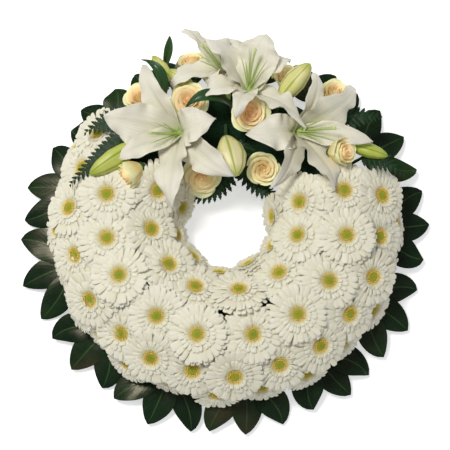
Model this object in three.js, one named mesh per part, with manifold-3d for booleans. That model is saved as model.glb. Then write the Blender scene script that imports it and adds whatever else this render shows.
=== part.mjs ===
// A funeral wreath: a ring of wet floral foam in a plastic tray, edged with glossy
// evergreen sprigs, covered with white mini gerberas, and crowned at one end with
// lilies, roses, lily buds and fern. Millimetres, +Z up, the wreath lying on its tray.
// Every stem runs straight from its flower to the core line of the foam ring.
import * as THREE from 'three';
import { mergeVertices } from 'three/addons/utils/BufferGeometryUtils.js';
import Module from 'manifold-3d';

const wasm = await Module();
wasm.setup();

// ---- Driving dimensions -------------------------------------------------------------

const RING_RADIUS = 132; // ring axis to the core line of the foam
const CORE_HEIGHT = 35; // the core line above the resting surface
const DOME_SQUASH = 0.8; // the flower dome is this much lower than it is wide
const FOAM = { halfWidth: 38, bottom: 2.4, top: 54, chamfer: 13 };
const TRAY = { wall: 2, rim: 13, clearance: 0.4, sides: 24 };
const GAP = 0.45; // left between pieces that rest against each other
const FINEST = 0.1; // surface detail smaller than this is left out
const STEM_END = 19; // how near the core line a stem reaches

const radians = THREE.MathUtils.degToRad;
const vec = (x, y, z) => new THREE.Vector3(x, y, z);

// ---- Places on the dome -------------------------------------------------------------

// A point of the core line, at an azimuth round the ring axis.
function corePoint(azimuth) {
  const a = radians(azimuth);
  return vec(RING_RADIUS * Math.cos(a), RING_RADIUS * Math.sin(a), CORE_HEIGHT);
}

// The core point nearest to a place.
function coreBelow(place) {
  return corePoint(THREE.MathUtils.radToDeg(Math.atan2(place.y, place.x)));
}

// A place at an azimuth, at a reach from the core line. It leans out of the ring, or into it
// where `lean` is negative.
function domePlace(azimuth, lean, reach) {
  const a = radians(azimuth);
  const l = radians(lean);
  const radius = RING_RADIUS + reach * Math.sin(l);
  const height = CORE_HEIGHT + reach * DOME_SQUASH * Math.cos(l);
  return vec(radius * Math.cos(a), radius * Math.sin(a), height);
}

// A frame at a place whose z looks along `facing` and whose x lies level.
function frameAt(place, facing) {
  const z = facing.clone().normalize();
  const level = vec(0, 0, 1).cross(z);
  const x = level.length() > 1e-3 ? level.normalize() : vec(1, 0, 0);
  const y = z.clone().cross(x);
  return new THREE.Matrix4().makeBasis(x, y, z).setPosition(place);
}

// ---- Solids -------------------------------------------------------------------------

function solidOf(positions, triangles) {
  const geometry = new THREE.BufferGeometry();
  geometry.setAttribute('position', new THREE.Float32BufferAttribute(positions, 3));
  geometry.setIndex(triangles);
  const merged = mergeVertices(geometry, 1e-3);
  return new wasm.Manifold(new wasm.Mesh({
    numProp: 3,
    vertProperties: merged.attributes.position.array,
    triVerts: new Uint32Array(merged.index.array),
  }));
}

function geometryOf(solid) {
  const mesh = solid.getMesh();
  const geometry = new THREE.BufferGeometry();
  geometry.setAttribute('position', new THREE.BufferAttribute(mesh.vertProperties, 3));
  geometry.setIndex(new THREE.BufferAttribute(mesh.triVerts, 1));
  geometry.computeVertexNormals();
  return geometry;
}

// The closed skin over rings of points, from the point `first` to the point `last`.
// The rings run anticlockwise, seen from `last`.
function skin(first, rings, last) {
  const sides = rings[0].length;
  const points = [first, ...rings.flat(), last];
  const end = points.length - 1;
  const at = (ring, side) => 1 + ring * sides + (side % sides);
  const triangles = [];
  for (let side = 0; side < sides; side++) {
    triangles.push(0, at(0, side + 1), at(0, side));
    triangles.push(end, at(rings.length - 1, side), at(rings.length - 1, side + 1));
    for (let ring = 0; ring < rings.length - 1; ring++) {
      triangles.push(at(ring, side), at(ring, side + 1), at(ring + 1, side + 1));
      triangles.push(at(ring, side), at(ring + 1, side + 1), at(ring + 1, side));
    }
  }
  return solidOf(points.flatMap((p) => p.toArray()), triangles);
}

// A turned form in a frame. A profile row is { r, z }, from the lowest to the highest, and
// outline(angle, row) scales a row's radius round the form.
function turned(frame, low, rows, high, sides, outline = () => 1) {
  const rings = rows.map((row) => Array.from({ length: sides }, (_, side) => {
    const angle = (2 * Math.PI * side) / sides;
    const r = row.r * outline(angle, row);
    return vec(r * Math.cos(angle), r * Math.sin(angle), row.z).applyMatrix4(frame);
  }));
  return skin(vec(0, 0, low).applyMatrix4(frame), rings, vec(0, 0, high).applyMatrix4(frame));
}

// A straight stem or filament between two points.
function stalk(from, to, radius, sides = 4) {
  const length = from.distanceTo(to);
  const rows = [{ r: radius, z: 0 }, { r: radius, z: length }];
  return turned(frameAt(from, to.clone().sub(from)), 0, rows, length, sides);
}

// The stem of a flower, from its base to the end of its cut in the foam.
function foamStem(base, radius, grow) {
  const core = coreBelow(base);
  const away = base.clone().sub(core).normalize();
  return stalk(core.addScaledVector(away, STEM_END - grow), base, radius + grow * 1.4);
}

// A thin blade along a curve: a petal or a leaf. `side` is a hint of its width's direction,
// `halfWidth(t)` is its outline, and `cup` lifts its edges above a crease along its middle.
function blade({ curve, side, halfWidth, half, cup = 0, along = 3, grow = 0 }) {
  const rows = [];
  for (let i = 0; i <= along; i++) {
    const t = i / along;
    const middle = curve.getPoint(t);
    const tangent = curve.getTangent(t);
    const across = side.clone().addScaledVector(tangent, -side.dot(tangent)).normalize();
    const normal = tangent.clone().cross(across);
    const width = halfWidth(t) + grow;
    const edge = (sign) => middle.clone().addScaledVector(across, sign * width)
      .addScaledVector(normal, cup * (width / 20));
    rows.push((cup ? [edge(-1), middle, edge(1)] : [edge(-1), edge(1)]).map((p) => [
      p.clone().addScaledVector(normal, half + grow),
      p.clone().addScaledVector(normal, -half - grow),
    ]));
  }
  // Each row's loop goes over the top and back along the underside.
  const rings = rows.map((row) => [...row.map((p) => p[1]), ...row.map((p) => p[0]).reverse()]);
  const centre = (ring) => ring.reduce((sum, p) => sum.add(p), vec(0, 0, 0)).divideScalar(ring.length);
  return skin(centre(rings[0]), rings, centre(rings[rings.length - 1]));
}

const joined = (solids) => wasm.Manifold.union(solids);

// The largest body of a solid, without the scraps that a trim can cut loose.
function largest(solid) {
  return solid.decompose().sort((a, b) => b.volume() - a.volume())[0];
}

// ---- Gerberas -----------------------------------------------------------------------

// The rows overlap like shingles: each is turned up by `tilt` degrees, so that its petals
// tuck under the row nearer the top of the dome, and lie over the row beyond it. `groups`
// are the azimuths of the heads that are joined into one piece where their petals cross.
const GERBERA = { radius: 36, points: 10, eye: 10, stem: 2.3, tuck: 24, margin: 1.2 };
const GERBERA_ROWS = [
  { name: 'crest', lean: 6, reach: 78, tilt: 3, size: 1,
    groups: [[169.5, 190.5, 209.5], [235.5, 256.5, 282.5, 305.5], [327.5, 350.5, 372.5]] },
  { name: 'inner', lean: -35, reach: 76, tilt: 10, size: 1,
    groups: [[158, 188.5], [219.5, 246, 280], [313.5, 346, 372.5]] },
  { name: 'shoulder', lean: 42, reach: 73, tilt: 13, size: 1,
    groups: [[145.5, 160, 176, 193.5], [211, 228, 242, 257.5], [273, 290, 306, 322],
      [338, 353.5, 368.5]] },
  { name: 'hole', lean: -74, reach: 75, tilt: 14, size: 0.82,
    groups: [[160, 193, 226], [262, 298, 334, 368]] },
  { name: 'rim', lean: 73, reach: 69, tilt: 14, size: 0.92,
    groups: [[153, 169, 182, 196], [210.5, 223, 235.5, 249], [267, 282, 298, 313],
      [329, 344, 359, 374]] },
];

// The way a head faces on the squashed dome: outwards from the core line, turned up by the tilt.
function gerberaFacing(azimuth, row) {
  const lean = Math.atan2(Math.sin(radians(row.lean)), DOME_SQUASH * Math.cos(radians(row.lean)));
  const turned = lean - Math.sign(row.lean) * radians(row.tilt);
  const a = radians(azimuth);
  return vec(Math.sin(turned) * Math.cos(a), Math.sin(turned) * Math.sin(a), Math.cos(turned));
}

// One gerbera head and stem. `limits` are the azimuths between which its group lies.
function gerbera(row, azimuth, limits, grow) {
  const place = domePlace(azimuth, row.lean, row.reach);
  const facing = gerberaFacing(azimuth, row);
  const frame = frameAt(place, facing);
  // In this frame x runs round the ring, and y runs up towards the top of the dome.
  const level = vec(-Math.sin(radians(azimuth)), Math.cos(radians(azimuth)), 0);
  const xSign = Math.sign(vec(frame.elements[0], frame.elements[1], 0).dot(level));
  const ringRadius = Math.hypot(place.x, place.y);

  // How much of a petal, at an angle round the head, lies within the tuck and the group.
  function kept(angle, radius) {
    const round = radius * Math.cos(angle) * xSign;
    const up = radius * Math.sin(angle);
    let share = up > 0 ? Math.min(1, (GERBERA.tuck * row.size) / up) : 1;
    const limit = round > 0 ? limits[1] : limits[0];
    if (limit !== null && Math.abs(limit - azimuth) < 60) {
      const slope = Math.tan(radians(Math.abs(limit - azimuth)));
      const outward = -up * facing.z * Math.sign(row.lean);
      const reach = Math.abs(round) - outward * slope;
      if (reach > 0) share = Math.min(share, (ringRadius * slope - GERBERA.margin) / reach);
    }
    return share;
  }

  const size = row.size;
  const petals = GERBERA.radius * size;
  const outline = (angle, profile) => (profile.petals ? kept(angle, petals) + (3 * grow) / petals : 1);
  const head = turned(frame, -7 * size - grow, [
    { r: petals, z: 0, petals: true },
    { r: GERBERA.eye * size + grow, z: 4 * size + grow },
  ], 6 * size + grow, GERBERA.points, outline);
  return joined([head, foamStem(place, GERBERA.stem, grow)]);
}

function gerberaPieces() {
  return GERBERA_ROWS.flatMap((row) => row.groups.map((azimuths, index) => {
    const before = row.groups[index - 1];
    const after = row.groups[index + 1];
    const limits = [
      before ? (before[before.length - 1] + azimuths[0]) / 2 : null,
      after ? (azimuths[azimuths.length - 1] + after[0]) / 2 : null,
    ];
    return {
      name: `gerberas_${row.name}_${index + 1}`,
      look: 'gerbera',
      make: (grow) => joined(azimuths.map((azimuth) => gerbera(row, azimuth, limits, grow))),
    };
  }));
}

// ---- Lilies -------------------------------------------------------------------------

// Each lily opens from its throat, and each petal is given by its tip, where the florist's
// placing brought it, and by half its width. A petal that reaches less far arches higher.
const LILY = { half: 0.9, stem: 3.2, throat: 6, petal: 100, filament: 1, filamentLength: 58 };
const LILIES = [
  { name: 'lily_left', throat: vec(-52, 100, 92), facing: vec(-0.56, -0.2, 0.8),
    tips: [[-101, 176, 118, 15], [-12, 110, 132, 21], [7, 41, 118, 18], [-65, 7, 112, 18],
      [-129, 64, 116, 12], [-143, 113, 120, 24]] },
  { name: 'lily_middle', throat: vec(26, 148, 92), facing: vec(0.12, 0.6, 0.79),
    tips: [[-30, 138, 124, 16], [-21, 209, 125, 24], [47, 212, 126, 23], [78, 190, 106, 14],
      [96, 103, 118, 18], [10, 109, 134, 12]] },
  { name: 'lily_right', throat: vec(79, 102, 92), facing: vec(0.71, -0.12, 0.69),
    tips: [[108, 167, 120, 13], [153, 143, 122, 21], [171, 87, 114, 13], [129, 29, 114, 24],
      [55, 27, 112, 15], [22, 91, 124, 20]] },
  { name: 'lily_back', throat: vec(3, 176, 74), facing: vec(-0.5, 0.35, 0.8),
    tips: [[-68, 162, 102, 15], [-46, 228, 104, 8], [19, 214, 98, 13], [46, 194, 86, 14],
      [30, 172, 78, 12], [-24, 152, 96, 13]] },
];

function lilyOutline(width) {
  return (t) => width * Math.sin(Math.PI * Math.pow(t, 0.85)) ** 0.8 * 0.96 + 1.6;
}

// A petal's centre line: it rises along the flower's facing and comes over to its tip.
function lilyPetalLine(spec, tip) {
  const outward = tip.clone().sub(spec.throat);
  const length = outward.length();
  const rise = 0.2 * length + 0.4 * Math.max(0, LILY.petal - length);
  const bend = spec.throat.clone().addScaledVector(outward, 0.42)
    .addScaledVector(spec.facing.clone().normalize(), rise);
  return new THREE.QuadraticBezierCurve3(spec.throat, bend, tip);
}

function lily(spec, grow) {
  const facing = spec.facing.clone().normalize();
  const parts = spec.tips.map(([x, y, z, width]) => {
    const tip = vec(x, y, z);
    const side = facing.clone().cross(tip.clone().sub(spec.throat)).normalize();
    return blade({
      curve: lilyPetalLine(spec, tip), side, halfWidth: lilyOutline(width), half: LILY.half, cup: 3, grow,
    });
  });
  const throatEnd = spec.throat.clone().addScaledVector(facing, 12);
  parts.push(stalk(spec.throat.clone().addScaledVector(facing, -6), throatEnd, LILY.throat + grow, 6));
  const level = facing.clone().cross(vec(0, 0, 1)).normalize();
  const upward = level.clone().cross(facing);
  for (let k = 0; k < 7; k++) {
    // Six filaments splay round the style, which is the seventh and longest.
    const splay = k < 6 ? 0.3 : 0;
    const turn = (2 * Math.PI * k) / 6;
    const way = facing.clone().addScaledVector(level, splay * Math.cos(turn))
      .addScaledVector(upward, splay * Math.sin(turn)).normalize();
    const end = spec.throat.clone().addScaledVector(way, LILY.filamentLength * (k < 6 ? 1 : 1.12));
    parts.push(stalk(spec.throat, end, LILY.filament + grow, 3));
  }
  parts.push(foamStem(spec.throat, LILY.stem, grow));
  return joined(parts);
}

// ---- Roses --------------------------------------------------------------------------

// A rose is placed by the middle of its open face, and faces where the florist turned it.
const ROSE = { radius: 24, height: 34, stem: 2.8, sides: 10, lobes: 5 };
const ROSES = [
  { place: domePlace(125, 38, 84), facing: vec(-0.3, 0.4, 1), size: 1 },
  { place: domePlace(108, 9, 88), facing: vec(-0.1, -0.05, 1), size: 1.06 },
  { place: domePlace(102, 56, 86), facing: vec(-0.1, 0.7, 0.8), size: 0.92 },
  { place: domePlace(77, -5, 88), facing: vec(0.05, -0.25, 1), size: 1.04 },
  { place: domePlace(120, -62, 84), facing: vec(0.05, -0.45, 1), size: 1.12 },
  { place: domePlace(52, -46, 82), facing: vec(0.05, -0.35, 1), size: 0.97 },
  { place: domePlace(160, -3.5, 90), facing: vec(-0.76, -0.56, 0.36), size: 0.94 },
  { place: domePlace(27.5, 14, 106), facing: vec(0.66, -0.06, 0.75), size: 0.94 },
  { place: domePlace(50, 62, 88), facing: vec(0.3, 0.35, 1), size: 0.95 },
  { place: domePlace(67, 46, 86), facing: vec(0.2, 0.5, 0.9), size: 0.9 },
];

function rose(spec, grow) {
  const { radius, height } = ROSE;
  const s = spec.size;
  const frame = frameAt(spec.place, spec.facing);
  const ruffle = (angle, row) => 1 + (row.ruffle ?? 0) * Math.cos(ROSE.lobes * angle);
  const head = turned(frame, -height * s - grow, [
    { r: 7 * s + grow, z: -height * s + 2 },
    { r: radius * s * 0.86 + grow, z: -height * s * 0.55 },
    { r: radius * s + grow, z: -6 * s, ruffle: 0.05 },
    { r: radius * s * 0.94 + grow, z: 1 + grow, ruffle: 0.08 },
    { r: radius * s * 0.66, z: -4 * s + grow },
    { r: radius * s * 0.42 + grow, z: 1 + grow, ruffle: -0.08 },
  ], -2 + grow, ROSE.sides, ruffle);
  const base = vec(0, 0, -height * s + 3).applyMatrix4(frame);
  return joined([head, foamStem(base, ROSE.stem, grow)]);
}

// ---- Lily buds ----------------------------------------------------------------------

const BUD = { stem: 2.4, sides: 9 };
const BUDS = [
  { from: vec(-100, 88, 100), to: vec(-158, 47, 108), radius: 12.5 },
  { from: vec(-1, 98, 86), to: vec(12, 46, 104), radius: 17 },
  { from: vec(62, 140, 84), to: vec(99, 180, 108), radius: 13.5 },
  { from: vec(142, 86, 92), to: vec(189, 71, 96), radius: 9 },
  { from: vec(-64, 164, 88), to: vec(-87, 192, 100), radius: 8 },
  { from: vec(-38, 156, 84), to: vec(-70, 176, 94), radius: 10 },
];

function bud(spec, grow) {
  const length = spec.from.distanceTo(spec.to);
  const frame = frameAt(spec.from, spec.to.clone().sub(spec.from));
  // Three furrows run along the bud, where its outer petals meet.
  const furrowed = (angle, row) => 1 + (row.r > BUD.stem * 2 ? 0.06 : 0) * Math.cos(3 * angle);
  const r = spec.radius;
  const body = turned(frame, -grow, [
    { r: r * 0.38 + grow, z: 1 },
    { r: r * 0.86 + grow, z: length * 0.28 },
    { r: r + grow, z: length * 0.55 },
    { r: r * 0.72 + grow, z: length * 0.8 },
  ], length + grow, BUD.sides, furrowed);
  const inside = spec.from.clone().lerp(spec.to, 0.06);
  return joined([body, foamStem(inside, BUD.stem, grow)]);
}

// ---- Leaves and fern ----------------------------------------------------------------

// A strap leaf off a lily stem, from its foot over a bend to its tip.
const LILY_LEAF = { half: 0.8, stem: 1.8 };
const LILY_LEAVES = [
  { foot: vec(-75, 138, 98), bend: vec(-66, 168, 140), tip: vec(-98, 180, 120), width: 6 },
  { foot: vec(8, 130, 94), bend: vec(-22, 150, 138), tip: vec(-48, 122, 114), width: 7 },
  { foot: vec(-73, 188, 72), bend: vec(-66, 206, 98), tip: vec(-67, 217, 96), width: 5 },
];

function lilyLeaf(spec, grow) {
  const curve = new THREE.QuadraticBezierCurve3(spec.foot, spec.bend, spec.tip);
  const side = vec(0, 0, 1).cross(spec.tip.clone().sub(spec.foot)).normalize();
  const halfWidth = (t) => spec.width * Math.sin(Math.PI * (0.12 + 0.86 * t)) + 0.8;
  const leaf = blade({ curve, side, halfWidth, half: LILY_LEAF.half, along: 4, grow });
  return joined([leaf, foamStem(curve.getPoint(0.04), LILY_LEAF.stem, grow)]);
}

// A frond of leatherleaf fern: its pinnae make a toothed triangle.
const FERN = { teeth: 4, width: 24, half: 0.8, stem: 1.5 };
const FERNS = [
  { foot: vec(-92, 104, 96), bend: vec(-136, 76, 122), tip: vec(-182, 36, 98) },
  { foot: vec(-104, 118, 92), bend: vec(-134, 116, 112), tip: vec(-166, 98, 98) },
  { foot: vec(160, 74, 82), bend: vec(182, 70, 104), tip: vec(208, 50, 86) },
  { foot: vec(136, 116, 84), bend: vec(158, 122, 100), tip: vec(184, 120, 84) },
  { foot: vec(0, 98, 60), bend: vec(10, 32, 43), tip: vec(-48, 30, 38) },
  { foot: vec(20, 98, 62), bend: vec(24, 40, 48), tip: vec(70, 30, 40) },
];

function fern(spec, grow) {
  const curve = new THREE.QuadraticBezierCurve3(spec.foot, spec.bend, spec.tip);
  const side = vec(0, 0, 1).cross(spec.tip.clone().sub(spec.foot)).normalize();
  const length = spec.foot.distanceTo(spec.tip);
  const steps = FERN.teeth * 2;
  const halfWidth = (t) => {
    const tooth = Math.round(t * steps) % 2 ? 1 : 0.5;
    return Math.min(FERN.width, length * 0.34) * (1 - t) * Math.min(1, 0.35 + 4 * t) * tooth + 1;
  };
  const frond = blade({ curve, side, halfWidth, half: FERN.half, along: steps, grow });
  return joined([frond, foamStem(curve.getPoint(0.04), FERN.stem, grow)]);
}

// An evergreen sprig: a twig pushed into the foam's wall, with leaves that fan out under the flowers.
const SPRIG = { count: 13, twigHeight: 17, twig: 1.8, from: 192, half: 0.7, width: 20 };
const LEAF_TURNS = [-9, 0, 9]; // degrees off the sprig's own azimuth
const LEAF_TIPS = [247, 254, 249]; // how far out each leaf's tip is
const SHORT_SIDE = { azimuth: 115, by: 22 }; // the leaves are shorter behind the spray
const LONG_SIDE = { azimuth: 180, by: 14 }; // and the longest ones lie at the left
const LEAF_LIFTS = [3, 0, -2.5]; // how far above the twig each leaf lies

function onRing(radius, azimuth, height) {
  const a = radians(azimuth);
  return vec(radius * Math.cos(a), radius * Math.sin(a), height);
}

function sprig(index, grow) {
  const azimuth = (360 / SPRIG.count) * index;
  const foot = onRing(RING_RADIUS + STEM_END, azimuth, SPRIG.twigHeight);
  const fork = onRing(SPRIG.from + 6, azimuth, SPRIG.twigHeight - 1);
  const cutEnd = foot.clone().lerp(fork, -grow / foot.distanceTo(fork));
  const parts = [stalk(cutEnd, fork, SPRIG.twig + grow * 1.4)];
  LEAF_TURNS.forEach((turn, leaf) => {
    const lift = LEAF_LIFTS[leaf];
    const short = SHORT_SIDE.by * Math.max(0, Math.cos(radians(azimuth + turn - SHORT_SIDE.azimuth)));
    const long = LONG_SIDE.by * Math.cos(radians(azimuth + turn - LONG_SIDE.azimuth)) ** 9;
    const reach = LEAF_TIPS[leaf] - short + Math.max(0, long);
    const start = onRing(SPRIG.from - 2, azimuth + turn * 0.12, SPRIG.twigHeight - 1 + lift * 0.3);
    const middle = onRing((SPRIG.from + reach) / 2, azimuth + turn * 1.15, SPRIG.twigHeight + lift);
    const tip = onRing(reach, azimuth + turn * 1.2, SPRIG.twigHeight - 8 + lift);
    const curve = new THREE.QuadraticBezierCurve3(start, middle, tip);
    const side = vec(0, 0, 1).cross(tip.clone().sub(start)).normalize();
    const halfWidth = (t) => SPRIG.width * Math.sin(Math.PI * Math.pow(t, 0.9)) ** 0.72 * 0.93 + 1;
    parts.push(blade({ curve, side, halfWidth, half: SPRIG.half, grow }));
  });
  return joined(parts);
}

// ---- Foam ring and tray -------------------------------------------------------------

// The foam's section is a block with its upper corners cut off.
function foamRing() {
  const inner = RING_RADIUS - FOAM.halfWidth;
  const outer = RING_RADIUS + FOAM.halfWidth;
  const c = FOAM.chamfer;
  const section = [[inner, FOAM.bottom], [outer, FOAM.bottom], [outer, FOAM.top - c],
    [outer - c, FOAM.top], [inner + c, FOAM.top], [inner, FOAM.top - c], [inner, FOAM.bottom]];
  return lathed(section);
}

// The tray is a shallow ring-shaped dish that holds the foam and the water.
function trayRing() {
  const inner = RING_RADIUS - FOAM.halfWidth - TRAY.clearance;
  const outer = RING_RADIUS + FOAM.halfWidth + TRAY.clearance;
  const w = TRAY.wall;
  const section = [[inner - w, 0], [outer + w, 0], [outer + w, TRAY.rim], [outer, TRAY.rim],
    [outer, w], [inner, w], [inner, TRAY.rim], [inner - w, TRAY.rim], [inner - w, 0]];
  return lathed(section);
}

// A section of [radius, height] points turned once round the ring axis.
function lathed(section) {
  const profile = section.map(([r, z]) => new THREE.Vector2(r, z));
  const geometry = new THREE.LatheGeometry(profile, TRAY.sides).rotateX(Math.PI / 2);
  return solidOf(Array.from(geometry.attributes.position.array), Array.from(geometry.index.array));
}

// ---- Assembly -----------------------------------------------------------------------

const LOOKS = {
  gerbera: { color: 0xf3efe2, roughness: 0.6, metalness: 0 },
  lily: { color: 0xf1efe6, roughness: 0.5, metalness: 0 },
  rose: { color: 0xf1dcb4, roughness: 0.6, metalness: 0 },
  bud: { color: 0xd3d285, roughness: 0.5, metalness: 0 },
  leaf: { color: 0x15351a, roughness: 0.35, metalness: 0 },
  fern: { color: 0x1b4a20, roughness: 0.5, metalness: 0 },
  foam: { color: 0x2f5a3c, roughness: 0.95, metalness: 0 },
  tray: { color: 0x20402c, roughness: 0.5, metalness: 0 },
};

// In the order in which pieces have the right of way: a later piece is trimmed where an
// earlier one lies against it, and the foam is cut by every stem.
const numbered = (specs, name, look, build) => specs.map((spec, k) => ({
  name: `${name}_${k + 1}`,
  look,
  make: (grow) => build(spec, grow),
}));
const pieces = [
  ...LILIES.map((spec) => ({ name: spec.name, look: 'lily', make: (grow) => lily(spec, grow) })),
  ...numbered(BUDS, 'lily_bud', 'bud', bud),
  ...numbered(ROSES, 'rose', 'rose', rose),
  ...gerberaPieces(),
  ...numbered(LILY_LEAVES, 'lily_leaf', 'leaf', lilyLeaf),
  ...numbered(FERNS, 'fern_frond', 'fern', fern),
  ...numbered(Array.from({ length: SPRIG.count }, (_, k) => k), 'leaf_sprig', 'leaf', sprig),
  { name: 'foam_ring', look: 'foam', make: foamRing },
  { name: 'base_tray', look: 'tray', make: trayRing },
];

function boxesMeet(a, b) {
  return [0, 1, 2].every((axis) => a.min[axis] <= b.max[axis] && b.min[axis] <= a.max[axis]);
}

const wreath = new THREE.Group();
const placed = [];
for (const piece of pieces) {
  const whole = piece.make(0);
  const near = placed.filter((other) => boxesMeet(other.boundingBox(), whole.boundingBox()));
  const trimmed = near.length ? whole.subtract(joined(near)) : whole;
  placed.push(piece.make(GAP));
  const body = largest(trimmed.simplify(FINEST));
  const mesh = new THREE.Mesh(geometryOf(body), new THREE.MeshStandardMaterial(LOOKS[piece.look]));
  mesh.name = piece.name;
  wreath.add(mesh);
}

// The origin is the middle of the wreath's own box, on the surface that the tray rests on.
const box = new THREE.Box3().setFromObject(wreath);
const middle = box.getCenter(vec(0, 0, 0));
wreath.position.set(-middle.x, -middle.y, -box.min.z);

export default wreath;
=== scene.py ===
"""A funeral wreath: white mini gerberas on a foam ring in a tray, edged with glossy leaves and
crowned with a spray of lilies, roses, buds and fern. Lengths are in millimetres until a mesh is made."""
import math
import bpy
import numpy as np
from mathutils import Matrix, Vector


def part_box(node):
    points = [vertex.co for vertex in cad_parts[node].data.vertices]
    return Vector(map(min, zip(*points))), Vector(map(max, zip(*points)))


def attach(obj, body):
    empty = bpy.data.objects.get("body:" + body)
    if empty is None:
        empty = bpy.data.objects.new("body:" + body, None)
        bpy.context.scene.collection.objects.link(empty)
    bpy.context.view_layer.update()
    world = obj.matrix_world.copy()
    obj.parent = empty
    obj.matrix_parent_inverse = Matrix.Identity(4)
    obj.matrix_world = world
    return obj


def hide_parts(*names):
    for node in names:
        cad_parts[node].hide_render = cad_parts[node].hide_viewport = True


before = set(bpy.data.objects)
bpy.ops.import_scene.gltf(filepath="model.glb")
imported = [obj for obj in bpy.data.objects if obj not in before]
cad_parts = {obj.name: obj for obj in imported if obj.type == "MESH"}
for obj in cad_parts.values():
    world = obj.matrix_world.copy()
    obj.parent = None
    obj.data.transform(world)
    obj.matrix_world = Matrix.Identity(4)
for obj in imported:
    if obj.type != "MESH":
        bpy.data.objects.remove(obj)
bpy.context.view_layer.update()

# Camera, floor and light. The wreath lies on a pale floor and is seen from almost straight
# above, from its foot, under a large soft light and a weaker one from the other side.
tray_low, tray_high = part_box("base_tray")
RING_CENTRE = np.array([(tray_low.x + tray_high.x) * 500, (tray_low.y + tray_high.y) * 500, 0])
EYE_DISTANCE = 1500
EYE_ELEVATION = 80
VIEW_WIDTH = 526
VIEW_MIDDLE = RING_CENTRE + np.array([-1.3, -7.5, 80])
SENSOR_WIDTH = 36
FLOOR_REACH = 6

camera_data = bpy.data.cameras.new("camera")
camera = bpy.data.objects.new("camera", camera_data)
bpy.context.scene.collection.objects.link(camera)
up_angle = math.radians(EYE_ELEVATION)
eye = VIEW_MIDDLE + EYE_DISTANCE * np.array([0, -math.cos(up_angle), math.sin(up_angle)])
camera.location = Vector(eye) / 1000
camera.rotation_euler = (math.radians(90) - up_angle, 0, 0)
camera_data.sensor_width = SENSOR_WIDTH
camera_data.lens = SENSOR_WIDTH * EYE_DISTANCE / VIEW_WIDTH
camera_data.clip_end = 20
bpy.context.scene.camera = camera

floor_mesh = bpy.data.meshes.new("floor")
floor_corners = [(x * FLOOR_REACH, y * FLOOR_REACH, 0) for x, y in ((-1, -1), (1, -1), (1, 1), (-1, 1))]
floor_mesh.from_pydata(floor_corners, [], [(0, 1, 2, 3)])
floor = bpy.data.objects.new("floor", floor_mesh)
bpy.context.scene.collection.objects.link(floor)
floor_paint = bpy.data.materials.new("floor_paint")
floor_paint.use_nodes = True
floor_shader = floor_paint.node_tree.nodes["Principled BSDF"]
floor_shader.inputs["Base Color"].default_value = (0.93, 0.93, 0.93, 1)
floor_shader.inputs["Roughness"].default_value = 0.9
floor_shader.inputs["Emission Color"].default_value = (1, 1, 1, 1)
floor_shader.inputs["Emission Strength"].default_value = 0.55
floor_mesh.materials.append(floor_paint)

world = bpy.data.worlds.new("studio")
bpy.context.scene.world = world
world.use_nodes = True
world.node_tree.nodes["Background"].inputs["Color"].default_value = (0.96, 0.98, 1, 1)
world.node_tree.nodes["Background"].inputs["Strength"].default_value = 0.28


def add_light(name, place, size, power, colour):
    """A square soft light, in metres and watts, aimed at the wreath."""
    data = bpy.data.lights.new(name, "AREA")
    data.size = size
    data.energy = power
    data.color = colour
    light = bpy.data.objects.new(name, data)
    light.location = place
    light.rotation_euler = (-Vector(place)).to_track_quat("-Z", "Y").to_euler()
    bpy.context.scene.collection.objects.link(light)


add_light("key_light", (-0.5, 0.35, 1.7), 0.45, 20.5, (1, 0.98, 0.94))
add_light("fill_light", (1.0, -0.9, 1.3), 1.4, 1.6, (0.97, 0.98, 1))
bpy.context.scene.view_settings.view_transform = "Standard"

# Base tray. A shallow ring-shaped dish, moulded in dark green plastic, that holds the foam
# and its water; its flat underside is what the wreath lies on.
RING_RADIUS = 132
CORE_HEIGHT = 35
FOAM_HALF_WIDTH = 38
TRAY_WALL = 2
TRAY_RIM = 13
TRAY_CLEARANCE = 0.4


class Part:
    """Points, faces, map coordinates, tones and paints gathered for one mesh."""

    def __init__(self):
        self.points, self.faces, self.maps, self.tones, self.paints = [], [], [], [], []
        self.count = 0

    def add(self, points, faces, maps, tones, paint=0):
        self.faces.append(np.asarray(faces) + self.count)
        self.points.append(points)
        self.maps.append(maps)
        self.tones.append(tones)
        self.paints.append(np.full(len(faces), paint))
        self.count += len(points)

    def place(self, name, materials, nodes, slot):
        """Makes the mesh object, which stands for CAD nodes. The finish slot is not used."""
        points = np.concatenate(self.points) / 1000
        faces = np.concatenate(self.faces)
        mesh = bpy.data.meshes.new(name)
        mesh.vertices.add(len(points))
        mesh.vertices.foreach_set("co", points.astype(np.float32).ravel())
        mesh.loops.add(faces.size)
        mesh.loops.foreach_set("vertex_index", faces.astype(np.int32).ravel())
        mesh.polygons.add(len(faces))
        mesh.polygons.foreach_set("loop_start", np.arange(0, faces.size, 4, dtype=np.int32))
        mesh.polygons.foreach_set("material_index", np.concatenate(self.paints).astype(np.int32))
        mesh.polygons.foreach_set("use_smooth", np.ones(len(faces), bool))
        mesh.update(calc_edges=True)
        across = mesh.uv_layers.new(name="petal")
        maps = np.concatenate(self.maps)[faces.ravel()]
        across.data.foreach_set("uv", maps.astype(np.float32).ravel())
        tone = mesh.attributes.new("tone", "FLOAT", "POINT")
        tone.data.foreach_set("value", np.concatenate(self.tones).astype(np.float32))
        mesh.validate()
        for material in materials:
            mesh.materials.append(material)
        piece = bpy.data.objects.new(name, mesh)
        bpy.context.scene.collection.objects.link(piece)
        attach(piece, "root")
        if nodes:
            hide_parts(*nodes)


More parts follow.
